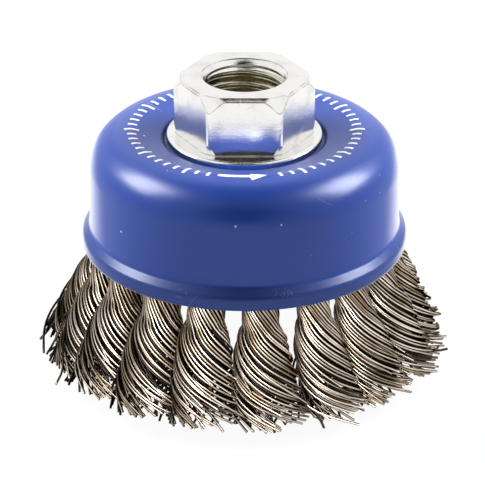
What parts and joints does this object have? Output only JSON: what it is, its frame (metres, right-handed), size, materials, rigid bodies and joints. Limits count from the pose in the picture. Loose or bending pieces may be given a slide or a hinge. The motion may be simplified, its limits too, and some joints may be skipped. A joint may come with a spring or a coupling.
{
  "type": "twist-knot wire cup brush",
  "caption": "Cup brush for an angle grinder: a blue pressed steel cup with a ring of twisted wire knots, riveted to a hexagon arbor nut with a threaded bore.",
  "frame": {"origin": "on the spindle axis, in the plane of the wire tips that the brush stands on", "axes": "+Z along the spindle axis from the wire tips to the nut; -Y faces a flat of the hexagon"},
  "size_m": [0.0734, 0.0732, 0.055],
  "materials": {
    "cup_paint": "gloss blue paint on pressed steel, lightly scuffed",
    "nut_plating": "bright zinc plating over machined hexagon bar",
    "inner_steel": "bare pressed steel",
    "knot_wire": "drawn steel wire, satin"
  },
  "bodies": {
    "root": {"cup_shell": "cup_paint", "arbor_nut": "nut_plating", "knot_disc": "inner_steel", "retaining_plate": "inner_steel", "knot_01": "knot_wire", "knot_02": "knot_wire", "knot_03": "knot_wire", "knot_04": "knot_wire", "knot_05": "knot_wire", "knot_06": "knot_wire", "knot_07": "knot_wire", "knot_08": "knot_wire", "knot_09": "knot_wire", "knot_10": "knot_wire", "knot_11": "knot_wire", "knot_12": "knot_wire", "knot_13": "knot_wire", "knot_14": "knot_wire", "knot_15": "knot_wire", "knot_16": "knot_wire", "knot_17": "knot_wire", "knot_18": "knot_wire"}
  },
  "joints": []
}
